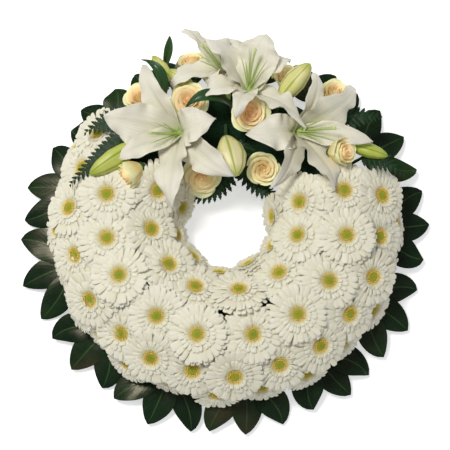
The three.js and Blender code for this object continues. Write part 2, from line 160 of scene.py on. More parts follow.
def add_tube(part, path, radii, sides=8, tone=0.5, paint=0):
    """A closed tube along a path of points."""
    path = np.asarray(path, float)
    along = np.gradient(path, axis=0)
    along /= np.linalg.norm(along, axis=1, keepdims=True)
    hint = np.array([0.31, 0.2, 0.93]) if abs(along[0][2]) < 0.9 else np.array([1, 0.1, 0])
    side = np.cross(along, hint)
    side /= np.linalg.norm(side, axis=1, keepdims=True)
    up = np.cross(side, along)
    turn = np.linspace(0, 2 * np.pi, sides, endpoint=False)
    ring = np.cos(turn)[None, :, None] * side[:, None] + np.sin(turn)[None, :, None] * up[:, None]
    radii = np.broadcast_to(radii, len(path))
    rings = path[:, None] + ring * radii[:, None, None]
    rows = len(path)
    points = np.concatenate([rings.reshape(-1, 3), path[:1], path[-1:]])
    faces = []
    for s in range(sides):
        n = (s + 1) % sides
        for r in range(rows - 1):
            faces.append((r * sides + s, r * sides + n, (r + 1) * sides + n, (r + 1) * sides + s))
    for s in range(0, sides, 2):
        one, two = (s + 1) % sides, (s + 2) % sides
        faces.append((rows * sides, two, one, s))
        last = (rows - 1) * sides
        faces.append((rows * sides + 1, last + s, last + one, last + two))
    v = np.repeat(np.linspace(0, 1, rows), sides)
    maps = np.stack([np.tile(turn / (2 * np.pi), rows), v], 1)
    maps = np.concatenate([maps, [[0.5, 0], [0.5, 1]]])
    part.add(points, faces, maps, np.full(len(points), tone), paint)


def add_lathe(part, section, middle, sides=96):
    """A closed section of (radius, height) points turned once round a vertical axis."""
    section = np.asarray(section, float)
    turn = np.linspace(0, 2 * np.pi, sides, endpoint=False)
    rows = len(section)
    x = section[:, 0][:, None] * np.cos(turn)
    y = section[:, 0][:, None] * np.sin(turn)
    z = np.repeat(section[:, 1][:, None], sides, 1)
    points = np.stack([x, y, z], -1).reshape(-1, 3) + middle
    faces = [(r * sides + s, r * sides + (s + 1) % sides, (r + 1) % rows * sides + (s + 1) % sides,
              (r + 1) % rows * sides + s) for r in range(rows) for s in range(sides)]
    maps = np.stack([np.tile(turn / (2 * np.pi), rows), np.repeat(np.linspace(0, 1, rows), sides)], 1)
    part.add(points, faces, maps, np.full(len(points), 0.5))


class Paint:
    """A material with a few short ways to build its nodes."""

    def __init__(self, name, roughness, specular=0.5):
        self.material = bpy.data.materials.new(name)
        self.material.use_nodes = True
        self.nodes = self.material.node_tree.nodes
        self.links = self.material.node_tree.links
        self.shader = self.nodes["Principled BSDF"]
        self.shader.inputs["Roughness"].default_value = roughness
        self.shader.inputs["Specular IOR Level"].default_value = specular

    def node(self, kind, **values):
        node = self.nodes.new(kind)
        for name, value in values.items():
            setattr(node, name, value)
        return node

    def map(self, axis):
        """0 runs across a petal or leaf and 1 along it."""
        split = self.node("ShaderNodeSeparateXYZ")
        self.links.new(self.node("ShaderNodeUVMap", uv_map="petal").outputs[0], split.inputs[0])
        return split.outputs[axis]

    def tone(self):
        return self.node("ShaderNodeAttribute", attribute_name="tone").outputs["Fac"]

    def math(self, operation, a, b=0.0):
        node = self.node("ShaderNodeMath", operation=operation)
        for socket, value in zip(node.inputs, (a, b)):
            if isinstance(value, (int, float)):
                socket.default_value = value
            else:
                self.links.new(value, socket)
        return node.outputs[0]

    def ramp(self, source, stops):
        node = self.node("ShaderNodeValToRGB")
        self.links.new(source, node.inputs[0])
        while len(node.color_ramp.elements) < len(stops):
            node.color_ramp.elements.new(0.5)
        for element, (place, colour) in zip(node.color_ramp.elements, stops):
            element.position = place
            element.color = (*colour, 1)
        return node.outputs[0]

    def noise(self, scale, detail=4, stretch=None):
        """Noise in the piece's own space, or stretched over its map as (across, along)."""
        node = self.node("ShaderNodeTexNoise")
        node.inputs["Scale"].default_value = scale
        node.inputs["Detail"].default_value = detail
        if stretch:
            mapping = self.node("ShaderNodeMapping")
            mapping.inputs["Scale"].default_value = (*stretch, 1)
            self.links.new(self.node("ShaderNodeUVMap", uv_map="petal").outputs[0], mapping.inputs[0])
            self.links.new(mapping.outputs[0], node.inputs["Vector"])
        else:
            self.links.new(self.node("ShaderNodeTexCoord").outputs["Object"], node.inputs["Vector"])
        return node.outputs["Fac"]

    def mix(self, factor, a, b, blend="MIX"):
        node = self.node("ShaderNodeMix", data_type="RGBA", blend_type=blend)
        for socket, value in zip((node.inputs[0], node.inputs[6], node.inputs[7]), (factor, a, b)):
            if isinstance(value, (int, float)):
                socket.default_value = value
            elif isinstance(value, tuple):
                socket.default_value = (*value, 1)
            else:
                self.links.new(value, socket)
        return node.outputs[2]

    def colour(self, source):
        self.links.new(source, self.shader.inputs["Base Color"])

    def rough(self, source):
        self.links.new(source, self.shader.inputs["Roughness"])

    def bump(self, source, strength, distance):
        node = self.node("ShaderNodeBump")
        node.inputs["Strength"].default_value = strength
        node.inputs["Distance"].default_value = distance / 1000
        self.links.new(source, node.inputs["Height"])
        self.links.new(node.outputs[0], self.shader.inputs["Normal"])


tray_paint = Paint("tray_plastic", 0.45)
scuffs = tray_paint.noise(60, 6)
tray_greens = [(0.3, (0.012, 0.045, 0.02)), (0.75, (0.03, 0.075, 0.035))]
tray_paint.colour(tray_paint.ramp(scuffs, tray_greens))
tray_paint.rough(tray_paint.math("MULTIPLY_ADD", scuffs, 0.3))
tray_paint.bump(tray_paint.noise(900, 3), 0.15, 0.2)

tray = Part()
inside = RING_RADIUS - FOAM_HALF_WIDTH - TRAY_CLEARANCE
outside = RING_RADIUS + FOAM_HALF_WIDTH + TRAY_CLEARANCE
add_lathe(tray, [(inside - TRAY_WALL, 0), (inside - TRAY_WALL, TRAY_RIM - 1), (inside - 1, TRAY_RIM),
                 (inside, TRAY_RIM - 1), (inside, TRAY_WALL), (outside, TRAY_WALL),
                 (outside, TRAY_RIM - 1), (outside + 1, TRAY_RIM), (outside + TRAY_WALL, TRAY_RIM - 1),
                 (outside + TRAY_WALL, 0)][::-1], RING_CENTRE)
tray.place("base_tray_dish", [tray_paint.material], ["base_tray"], "tray_plastic")

# Foam ring. A block of wet floral foam, green and finely porous, with its upper corners cut
# off; every stem is pushed into it.
FOAM_BOTTOM = 2.4
FOAM_TOP = 54
FOAM_CHAMFER = 13

foam_paint = Paint("floral_foam", 0.95, 0.15)
pores = foam_paint.noise(700, 5)
foam_greens = [(0.35, (0.004, 0.016, 0.007)), (0.7, (0.014, 0.042, 0.022))]
foam_paint.colour(foam_paint.ramp(pores, foam_greens))
foam_paint.bump(pores, 0.6, 1.2)

foam = Part()
inside = RING_RADIUS - FOAM_HALF_WIDTH
outside = RING_RADIUS + FOAM_HALF_WIDTH
add_lathe(foam, [(inside, FOAM_BOTTOM), (inside, FOAM_TOP - FOAM_CHAMFER),
                 (inside + FOAM_CHAMFER, FOAM_TOP), (outside - FOAM_CHAMFER, FOAM_TOP),
                 (outside, FOAM_TOP - FOAM_CHAMFER), (outside, FOAM_BOTTOM)][::-1], RING_CENTRE)
foam.place("foam_ring_block", [foam_paint.material], ["foam_ring"], "floral_foam")

# Leaf sprigs. Twigs of a glossy evergreen pushed into the foam's outer wall, each with three
# broad leaves with short points that fan out flat under the flowers as the wreath's dark edge.
SPRIG_COUNT = 13
TWIG_HEIGHT = 17
LEAF_FROM = 192
LEAF_HALF_WIDTH = 20
LEAF_TURNS = (-9, 0, 9)
LEAF_TIPS = (247, 254, 249)
LEAF_LIFTS = (3, 0, -2.5)
SHORT_AZIMUTH = 115
SHORT_BY = 22
LONG_AZIMUTH = 180
LONG_BY = 14
FULL_TURN = 6.28


def on_ring(radius, azimuth, height):
    """A place at a distance from the ring's axis, an azimuth in degrees and a height."""
    a = math.radians(azimuth)
    return RING_CENTRE + np.array([radius * math.cos(a), radius * math.sin(a), height])


def bezier(a, b, c, t):
    """Points of the curve from a to c that bends towards b."""
    t = np.asarray(t, float)[..., None]
    return (1 - t) ** 2 * a + 2 * t * (1 - t) * b + t ** 2 * c


def unit(v):
    return v / np.maximum(np.linalg.norm(v, axis=-1, keepdims=True), 1e-9)


def add_shells(part, grids, thickness, tones, paint=0):
    """Thin closed shells over grids of points shaped (petals, rows, columns, 3). The rows run
    from a petal's base to its tip, and its two faces meet in a sharp border."""
    count, rows, columns, _ = grids.shape
    normal = unit(np.cross(np.gradient(grids, axis=2), np.gradient(grids, axis=1)))
    depth = np.full((rows, columns), thickness / 2)
    depth[[0, -1]] = 0
    depth[:, [0, -1]] = 0
    lift = normal * depth[None, :, :, None]
    one_side = rows * columns

    def quads(index, flip):
        corners = [index[:-1, :-1], index[:-1, 1:], index[1:, 1:], index[1:, :-1]]
        return np.stack(corners[::-1] if flip else corners, -1).reshape(-1, 4)

    upper = np.arange(one_side).reshape(rows, columns)
    faces = np.concatenate([quads(upper, False), quads(upper + one_side, True)])
    points = np.stack([grids + lift, grids - lift], 1)
    u, v = np.meshgrid(np.linspace(0, 1, columns), np.linspace(0, 1, rows))
    maps = np.tile(np.stack([u, v], -1).reshape(-1, 2), (2 * count, 1))
    all_faces = (faces[None] + (np.arange(count) * 2 * one_side)[:, None, None]).reshape(-1, 4)
    part.add(points.reshape(-1, 3), all_faces, maps, np.repeat(tones, 2 * one_side), paint)


def blade_grid(centre_line, side, half_widths, columns, profile, twist=0.0):
    """A grid over a centre line: `side` hints at its width's direction, `profile(s, t)` lifts a
    point at s, from -1 to 1 across, and t along, and `twist` turns the tip about the line."""
    rows = len(centre_line)
    along = unit(np.gradient(centre_line, axis=0))
    across = unit(side - along * (along @ side)[:, None])
    normal = np.cross(along, across)
    s = np.linspace(-1, 1, columns)
    t = np.linspace(0, 1, rows)
    turn = (twist * t)[:, None]
    across, normal = (across * np.cos(turn) + normal * np.sin(turn),
                      normal * np.cos(turn) - across * np.sin(turn))
    lift = profile(s[None, :], t[:, None]) * np.ones((rows, columns))
    return (centre_line[:, None] + across[:, None] * (half_widths[:, None] * s)[:, :, None]
            + normal[:, None] * lift[:, :, None])


leaf_paint = Paint("evergreen_leaf", 0.3, 0.22)
leaf_paint.shader.inputs["Specular Tint"].default_value = (1, 0.88, 0.7, 1)
veins = leaf_paint.node("ShaderNodeTexWave", wave_type="BANDS", bands_direction="Y")
veins.inputs["Scale"].default_value = 2.6
veins.inputs["Distortion"].default_value = 1.2
slant = leaf_paint.node("ShaderNodeCombineXYZ")
from_midrib = leaf_paint.math("ABSOLUTE", leaf_paint.math("SUBTRACT", leaf_paint.map(0), 0.5))
leaf_paint.links.new(leaf_paint.math("SUBTRACT", leaf_paint.map(1), from_midrib), slant.inputs[1])
leaf_paint.links.new(slant.outputs[0], veins.inputs["Vector"])
midrib = leaf_paint.ramp(from_midrib, [(0.0, (1, 1, 1)), (0.035, (0, 0, 0))])
greens = leaf_paint.ramp(leaf_paint.noise(28, 5), [
    (0.3, (0.003, 0.012, 0.006)), (0.55, (0.006, 0.024, 0.009)), (0.8, (0.018, 0.042, 0.012))])
leaf_tone = leaf_paint.ramp(leaf_paint.tone(), [
    (0.0, (0.75, 0.8, 0.8)), (0.6, (1, 1, 1)), (1.0, (1.9, 1.5, 1.0))])
greens = leaf_paint.mix(1.0, greens, leaf_tone, "MULTIPLY")
# Brown patches on the leaves of higher tone: a painted reflection, brown glints on the glossy leaves.
painted_reflection_patches = leaf_paint.ramp(leaf_paint.noise(16, 3), [(0.52, (0, 0, 0)), (0.72, (0.75, 0.75, 0.75))])
reflecting_leaves = leaf_paint.ramp(leaf_paint.tone(), [(0.45, (0, 0, 0)), (0.8, (1, 1, 1))])
greens = leaf_paint.mix(leaf_paint.math("MULTIPLY", painted_reflection_patches, reflecting_leaves), greens, (0.06, 0.045, 0.025))
vein_lines = leaf_paint.ramp(veins.outputs["Fac"], [(0.88, (0, 0, 0)), (1, (0.25, 0.25, 0.25))])
veined = leaf_paint.mix(vein_lines, greens, (0.02, 0.055, 0.02))
leaf_paint.colour(leaf_paint.mix(midrib, veined, (0.045, 0.095, 0.03)))
leaf_gloss = [(0.3, (0.2, 0.2, 0.2)), (0.8, (0.4, 0.4, 0.4))]
leaf_paint.rough(leaf_paint.ramp(leaf_paint.noise(70, 4), leaf_gloss))
leaf_paint.bump(leaf_paint.mix(0.25, midrib, veins.outputs["Fac"]), 0.2, 0.5)
twig_paint = Paint("twig_bark", 0.7)
bark = [(0.3, (0.03, 0.05, 0.02)), (0.8, (0.1, 0.09, 0.045))]
twig_paint.colour(twig_paint.ramp(twig_paint.noise(120, 4), bark))

random = np.random.default_rng(7)
for index in range(SPRIG_COUNT):
    sprig = Part()
    azimuth = 360 / SPRIG_COUNT * index
    foot = on_ring(RING_RADIUS + 30, azimuth, TWIG_HEIGHT)
    fork = on_ring(LEAF_FROM + 6, azimuth, TWIG_HEIGHT - 1)
    add_tube(sprig, np.linspace(foot, fork, 5), 1.7, 6, paint=1)
    for turn, length, lift in zip(LEAF_TURNS, LEAF_TIPS, LEAF_LIFTS):
        short = SHORT_BY * max(0, math.cos(math.radians(azimuth + turn - SHORT_AZIMUTH)))
        long = LONG_BY * max(0, math.cos(math.radians(azimuth + turn - LONG_AZIMUTH))) ** 9
        reach = length - short + long - random.uniform(0, 6)
        start = on_ring(LEAF_FROM - 2, azimuth + turn * 0.12, TWIG_HEIGHT - 1 + lift * 0.3)
        middle = on_ring((LEAF_FROM + reach) / 2, azimuth + turn * 1.15, TWIG_HEIGHT + lift)
        tip = on_ring(reach, azimuth + turn * 1.2 + random.uniform(-2.2, 2.2), TWIG_HEIGHT - 8 + lift)
        t = np.linspace(0, 1, 15)
        line = bezier(start, middle, tip, t)
        side = np.cross([0, 0, 1], unit(tip - start))
        fullness = np.sin(np.pi * t ** 0.9).clip(0) ** 0.72
        outline = LEAF_HALF_WIDTH * fullness * random.uniform(0.88, 1) * 0.96 + 0.5
        wave = random.uniform(0, FULL_TURN)
        fold = random.uniform(1.5, 3)

        def leaf_profile(s, t):
            return fold * np.abs(s) - 1.6 * s ** 2 + 0.7 * np.sin(9 * t + wave) * np.abs(s) ** 2

        grid = blade_grid(line, side, outline, 9, leaf_profile, random.normal(0, 0.22))
        add_shells(sprig, grid[None], 0.7, np.array([random.random()]))
    sprig.place(f"leaf_sprig_{index + 1}_leaves", [leaf_paint.material, twig_paint.material],
                [f"leaf_sprig_{index + 1}"], "evergreen_leaves")

# Gerberas. Mini gerberas cut with short stems and pushed into the foam in five rows that
# overlap like shingles. Each head has three whorls of white rays, a short fringe, and a green
# eye inside rings of golden florets.
DOME_SQUASH = 0.8
STEM_END = 19
GERBERA_RADIUS = 36

# A row's name, how far it leans out of the ring, its reach from the core line, how much it is
# turned up, the size of its heads, and their azimuths, in groups of neighbours.
GERBERA_ROWS = (
    ("crest", 6, 78, 3, 1, ((169.5, 190.5, 209.5), (235.5, 256.5, 282.5, 305.5), (327.5, 350.5, 372.5))),
    ("inner", -35, 76, 10, 1, ((158, 188.5), (219.5, 246, 280), (313.5, 346, 372.5))),
    ("shoulder", 42, 73, 13, 1, ((145.5, 160, 176, 193.5), (211, 228, 242, 257.5),
                                 (273, 290, 306, 322), (338, 353.5, 368.5))),
    ("hole", -74, 75, 14, 0.82, ((160, 193, 226), (262, 298, 334, 368))),
    ("rim", 73, 69, 14, 0.92, ((153, 169, 182, 196), (210.5, 223, 235.5, 249),
                               (267, 282, 298, 313), (329, 344, 359, 374))),
)


def dome_place(azimuth, lean, reach):
    """A place on the dome: a reach from the foam's core line, leaning out of, or into, the ring."""
    angle = math.radians(lean)
    height = CORE_HEIGHT + reach * DOME_SQUASH * math.cos(angle)
    return on_ring(RING_RADIUS + reach * math.sin(angle), azimuth, height)


def frame_at(facing, turn=0.0):
    """Three axes as rows, the third along `facing` and the first level before the turn."""
    z = unit(np.asarray(facing, float))
    x = np.cross([0, 0, 1], z)
    x = unit(x) if np.linalg.norm(x) > 1e-3 else np.array([1.0, 0, 0])
    y = np.cross(z, x)
    turned_x = x * math.cos(turn) + y * math.sin(turn)
    turned_y = y * math.cos(turn) - x * math.sin(turn)
    return np.array([turned_x, turned_y, z])


def stem_end(base):
    """Where a stem from `base` ends in the foam, on its way to the core line."""
    out = base - RING_CENTRE
    core = on_ring(RING_RADIUS, math.degrees(math.atan2(out[1], out[0])), CORE_HEIGHT)
    return core + STEM_END * unit(base - core)


def whorl(random, count, length, width, start, low, rise, droop, phase, columns=5):
    """Ray petals round a head, as grids: `low` is their height at the base, and they rise and droop."""
    t = np.array([0, 0.25, 0.5, 0.72, 0.88, 0.97, 1.0])
    outline = np.array([0.5, 0.8, 0.98, 1.0, 0.94, 0.72, 0.42])
    if columns == 3:
        t, outline = t[[0, 2, 4, 6]], outline[[0, 2, 4, 6]]
    s = np.linspace(-1, 1, columns)
    groove = np.array([-0.55, 0.2, -0.05, 0.2, -0.55]) if columns == 5 else np.array([-0.3, 0.3, -0.3])
    angle = phase + (np.arange(count) + random.uniform(-0.2, 0.2, count)) * 2 * np.pi / count
    reach = length * random.uniform(0.95, 1.02, count)
    tips = random.normal(0, 0.6, count)
    bend = random.normal(0, 0.6, count)
    twist = random.normal(0, 0.12, count)
    half = width / 2 * random.uniform(0.9, 1.08, count)
    r = start + (reach[:, None] - start) * t
    x = half[:, None, None] * outline[:, None] * s + (bend[:, None] * t ** 2)[:, :, None]
    z = (low + rise * np.sin(t * 1.9)[None] - droop * t ** 3 + tips[:, None] * t ** 2)[:, :, None]
    z = z + groove * 0.9 * np.sin(np.pi * (0.15 + 0.8 * t))[:, None] + twist[:, None, None] * x
    r = r[:, :, None] - 0.9 * (np.abs(s) < 0.1) * (t > 0.99)[:, None] - 0.35 * np.abs(s) * (t > 0.9)[:, None]
    c, n = np.cos(angle)[:, None, None], np.sin(angle)[:, None, None]
    return np.stack([r * c - x * n, r * n + x * c, z * np.ones_like(x)], -1)


def ring_faces(rows, sides):
    """The four-sided faces between rows of points that run round a form."""
    return [(r * sides + s, r * sides + (s + 1) % sides,
             (r + 1) * sides + (s + 1) % sides, (r + 1) * sides + s)
            for r in range(rows - 1) for s in range(sides)]


def add_cones(part, places, ways, lengths, radii, tones, paint=0):
    """Small four-sided florets, each tapering from a base to a blunt top."""
    count = len(places)
    side = unit(np.cross(ways, np.array([0.3, 0.5, 0.81])))
    up = np.cross(ways, side)
    corner = np.array([[1, 0], [0, 1], [-1, 0], [0, -1]])
    ring = corner[None, :, 0, None] * side[:, None] + corner[None, :, 1, None] * up[:, None]
    base = places[:, None] + ring * radii[:, None, None] * 0.7
    waist = places[:, None] + ways[:, None] * lengths[:, None, None] * 0.75 + ring * radii[:, None, None]
    top = places[:, None] + ways[:, None] * lengths[:, None, None] + ring * radii[:, None, None] * 0.35
    points = np.concatenate([base, waist, top], 1)
    quads = ring_faces(3, 4) + [(8, 9, 10, 11), (3, 2, 1, 0)]
    faces = (np.array(quads)[None] + (np.arange(count) * 12)[:, None, None]).reshape(-1, 4)
    maps = np.tile(np.repeat([[0.5, 0.0], [0.5, 0.7], [0.5, 1.0]], 4, 0), (count, 1))
    part.add(points.reshape(-1, 3), faces, maps, np.repeat(tones, 12), paint)


ray_paint = Paint("gerbera_ray", 0.6, 0.25)
streaks = ray_paint.noise(1.0, 3, stretch=(22, 1.2))
ray_white = ray_paint.ramp(ray_paint.map(1), [(0.0, (0.62, 0.58, 0.3)), (0.2, (0.8, 0.76, 0.55)),
                                             (0.45, (0.87, 0.845, 0.71)), (1.0, (0.9, 0.88, 0.79))])
ray_tone = ray_paint.ramp(ray_paint.tone(), [(0.0, (0.93, 0.915, 0.84)), (1.0, (1, 1, 1))])
ray_base = ray_paint.mix(1.0, ray_white, ray_tone, "MULTIPLY")
streak_shade = ray_paint.ramp(streaks, [(0.35, (0.95, 0.94, 0.9)), (0.6, (1, 1, 1))])
ray_paint.colour(ray_paint.mix(0.8, ray_base, streak_shade, "MULTIPLY"))
ray_paint.bump(streaks, 0.3, 0.4)
disc_paint = Paint("gerbera_disc", 0.6, 0.25)
floret = disc_paint.ramp(disc_paint.tone(), [(0.0, (0.4, 0.46, 0.05)), (0.45, (0.62, 0.6, 0.08)),
                                            (0.55, (0.86, 0.55, 0.04)), (1.0, (0.95, 0.72, 0.1))])
is_ring = disc_paint.ramp(disc_paint.tone(), [(0.5, (0, 0, 0)), (0.6, (1, 1, 1))])
is_top = disc_paint.ramp(disc_paint.map(1), [(0.8, (0, 0, 0)), (1.0, (0.8, 0.8, 0.8))])
disc_paint.colour(disc_paint.mix(disc_paint.math("MULTIPLY", is_ring, is_top), floret, (0.92, 0.8, 0.4)))
disc_paint.bump(disc_paint.noise(1500, 3), 0.3, 0.3)
calyx_paint = Paint("gerbera_stem", 0.6, 0.3)
stem_greens = [(0.3, (0.02, 0.06, 0.015)), (0.8, (0.06, 0.12, 0.035))]
calyx_paint.colour(calyx_paint.ramp(calyx_paint.noise(200, 4), stem_greens))

# A whorl's count of rays, its length and width as shares of the head's radius, the height of
# its rays at their base, how far they rise and droop, and their tone.
WHORLS = (
    (29, 1.03, 0.19, -0.8, 1.2, 2.4, 0.3),
    (29, 0.95, 0.18, 0.9, 2.4, 1.2, 0.65),
    (24, 0.62, 0.13, 2.4, 2.4, 0.2, 0.95),
)
FRINGE_COUNT = 34
DISC_RADIUS = 5.0
DISC_FLORETS = 64
GOLDEN_ANGLE = 2.39996
POLLEN_RINGS = (6.2, 7.5, 8.9)
RING_FLORETS = 22
EYE_SIDES = 16


def gerbera_head(name, node, place, axes, size, random):
    """One head: its rays and its disc of florets, set at a place on the dome."""
    def put(local):
        return local @ axes + place

    radius = GERBERA_RADIUS * size
    rays = Part()
    for count, share, width, low, rise, droop, tone in WHORLS:
        grids = whorl(random, count, radius * share, radius * width, 6.5 * size, low * size,
                      rise * size, droop * size, random.uniform(0, FULL_TURN))
        tones = np.clip(tone + random.uniform(-0.3, 0.3, count), 0, 1)
        add_shells(rays, put(grids), 0.45, tones)
    fringe = whorl(random, FRINGE_COUNT, radius * 0.42, 2.4 * size, 8.5 * size, 3.0 * size, 2.6 * size,
                   -1.0, 0.0, 3)
    add_shells(rays, put(fringe), 0.4, random.uniform(0.6, 1, FRINGE_COUNT))
    rays.place(name + "_rays", [ray_paint.material], [node], "gerbera_petals")

    disc = Part()
    ripe = random.uniform(0, 0.2)
    spiral = np.arange(DISC_FLORETS)
    spread = np.sqrt((spiral + 0.5) / DISC_FLORETS)
    turn = spiral * GOLDEN_ANGLE
    r = DISC_RADIUS * size * spread
    way = unit(np.stack([np.cos(turn) * spread * 0.6, np.sin(turn) * spread * 0.6,
                         np.ones(DISC_FLORETS)], -1))
    foot = np.stack([r * np.cos(turn), r * np.sin(turn), (3.0 - 0.9 * spread ** 2) * size], -1)
    add_cones(disc, put(foot), way @ axes, np.full(DISC_FLORETS, 1.5 * size),
              random.uniform(0.55, 0.7, DISC_FLORETS) * size,
              ripe + 0.3 * spread * random.uniform(0.1, 1, DISC_FLORETS))
    for ring, ring_radius in enumerate(POLLEN_RINGS):
        step = np.arange(RING_FLORETS) + 0.5 * ring + random.uniform(-0.25, 0.25, RING_FLORETS)
        turn = step * 2 * np.pi / RING_FLORETS
        r = ring_radius * size * random.uniform(0.96, 1.04, RING_FLORETS)
        way = unit(np.stack([np.cos(turn) * 0.35 * ring, np.sin(turn) * 0.35 * ring,
                             np.ones(RING_FLORETS)], -1))
        foot = np.stack([r * np.cos(turn), r * np.sin(turn), np.full(RING_FLORETS, 2.2 * size)], -1)
        add_cones(disc, put(foot), way @ axes, random.uniform(2.2, 3.3, RING_FLORETS) * size,
                  random.uniform(0.55, 0.8, RING_FLORETS) * size, random.uniform(0.6, 1, RING_FLORETS))
    turn = np.linspace(0, 2 * np.pi, EYE_SIDES, endpoint=False)
    dome = np.array([(10.2, 0.5), (9.6, 1.6), (6.2, 2.2), (4.8, 2.8), (0.4, 3.2)]) * size
    rings = np.stack([dome[:, :1] * np.cos(turn), dome[:, :1] * np.sin(turn),
                      dome[:, 1:] * np.ones(EYE_SIDES)], -1)
    faces = ring_faces(len(dome), EYE_SIDES)
    disc.add(put(rings.reshape(-1, 3)), faces, np.zeros((len(dome) * EYE_SIDES, 2)),
             np.repeat([0.8, 0.8, 0.6, 0.1, 0], EYE_SIDES))
    disc.place(name + "_disc", [disc_paint.material], [], "gerbera_petals")


random = np.random.default_rng(21)
for row, lean, reach, tilt, size, groups in GERBERA_ROWS:
    true_lean = math.atan2(math.sin(math.radians(lean)), DOME_SQUASH * math.cos(math.radians(lean)))
    turned = true_lean - math.copysign(math.radians(tilt), lean)
    number = 0
    for group, azimuths in enumerate(groups, 1):
        node = f"gerberas_{row}_{group}"
        stems = Part()
        for azimuth in azimuths:
            number += 1
            raised = (2.2 if number % 2 else -2.2) + random.uniform(-0.8, 0.8)
            place = dome_place(azimuth, lean, reach + raised)
            a = math.radians(azimuth)
            outwards = np.array([math.cos(a), math.sin(a), 0]) * math.sin(turned)
            facing = outwards + np.array([0, 0, math.cos(turned)])
            facing = unit(facing + random.normal(0, 0.045, 3))
            axes = frame_at(facing, random.uniform(0, FULL_TURN))
            gerbera_head(f"gerbera_{row}_{number}", node, place, axes, size, random)
            cup = place + np.outer([0.5, -2.5, -5.5, -7], facing) * size
            add_tube(stems, cup, np.array([9.5, 8.5, 5.5, 2.4]) * size, 10)
            add_tube(stems, np.linspace(stem_end(place), cup[-2], 6), 2.2, 6)
        stems.place(node + "_stems", [calyx_paint.material], [], "gerbera_petals")

# Lilies. Open white lilies, each with three broad petals, three narrow ones between them, a
# green throat, six green filaments whose anthers are picked off, and a longer style.
PETAL_LENGTH = 100
FILAMENT_LENGTH = 58
BROAD = 17
NARROW = 10
FILAMENTS = 6

# A lily's name, its throat, the way it faces, and for each petal the place of its tip and half
# its width.
LILIES = (
    ("lily_left", (-52, 100, 92), (-0.56, -0.2, 0.8),
     ((-101, 176, 118, 15), (-12, 110, 132, 21), (7, 41, 118, 18), (-65, 7, 112, 18),
      (-129, 64, 116, 12), (-143, 113, 120, 24))),
    ("lily_middle", (26, 148, 92), (0.12, 0.6, 0.79),
     ((-30, 138, 124, 16), (-21, 209, 125, 24), (47, 212, 126, 23), (78, 190, 106, 14),
      (96, 103, 118, 18), (10, 109, 134, 12))),
    ("lily_right", (79, 102, 92), (0.71, -0.12, 0.69),
     ((108, 167, 120, 13), (153, 143, 122, 21), (171, 87, 114, 13), (129, 29, 114, 24),
      (55, 27, 112, 15), (22, 91, 124, 20))),
    ("lily_back", (3, 176, 74), (-0.5, 0.35, 0.8),
     ((-68, 162, 102, 15), (-46, 228, 104, 8), (19, 214, 98, 13), (46, 194, 86, 14),
      (30, 172, 78, 12), (-24, 152, 96, 13))),
)

lily_paint = Paint("lily_petal", 0.5, 0.35)
from_middle = lily_paint.math("ABSOLUTE", lily_paint.math("SUBTRACT", lily_paint.map(0), 0.5))
throat_green = lily_paint.ramp(lily_paint.map(1), [(0.0, (0.42, 0.52, 0.16)), (0.06, (0.66, 0.7, 0.42)),
                                                  (0.17, (0.82, 0.79, 0.66)), (1.0, (0.86, 0.835, 0.755))])
rib = lily_paint.ramp(from_middle, [(0.0, (1, 1, 1)), (0.05, (0, 0, 0))])
rib_fade = lily_paint.math("MULTIPLY", rib, lily_paint.ramp(lily_paint.map(1), [(0.15, (0.6, 0.6, 0.6)),
                                                                               (0.75, (0, 0, 0))]))
lines = lily_paint.noise(1.0, 2, stretch=(34, 1.0))
line_shade = lily_paint.ramp(lines, [(0.4, (0.93, 0.925, 0.88)), (0.6, (1, 1, 1))])
cloud = lily_paint.ramp(lily_paint.noise(30, 3), [(0.35, (0.94, 0.93, 0.9)), (0.65, (1, 1, 0.99))])
lily_clouded = lily_paint.mix(1.0, throat_green, cloud, "MULTIPLY")
lily_white = lily_paint.mix(0.9, lily_clouded, line_shade, "MULTIPLY")
lily_paint.colour(lily_paint.mix(rib_fade, lily_white, (0.66, 0.75, 0.45)))
lily_paint.bump(lily_paint.mix(0.3, lines, rib), 0.55, 1.2)
filament_paint = Paint("lily_filament", 0.4, 0.4)
filament_paint.colour(filament_paint.ramp(filament_paint.map(1), [
    (0.0, (0.4, 0.52, 0.16)), (0.7, (0.46, 0.6, 0.17)), (1.0, (0.6, 0.68, 0.3))]))

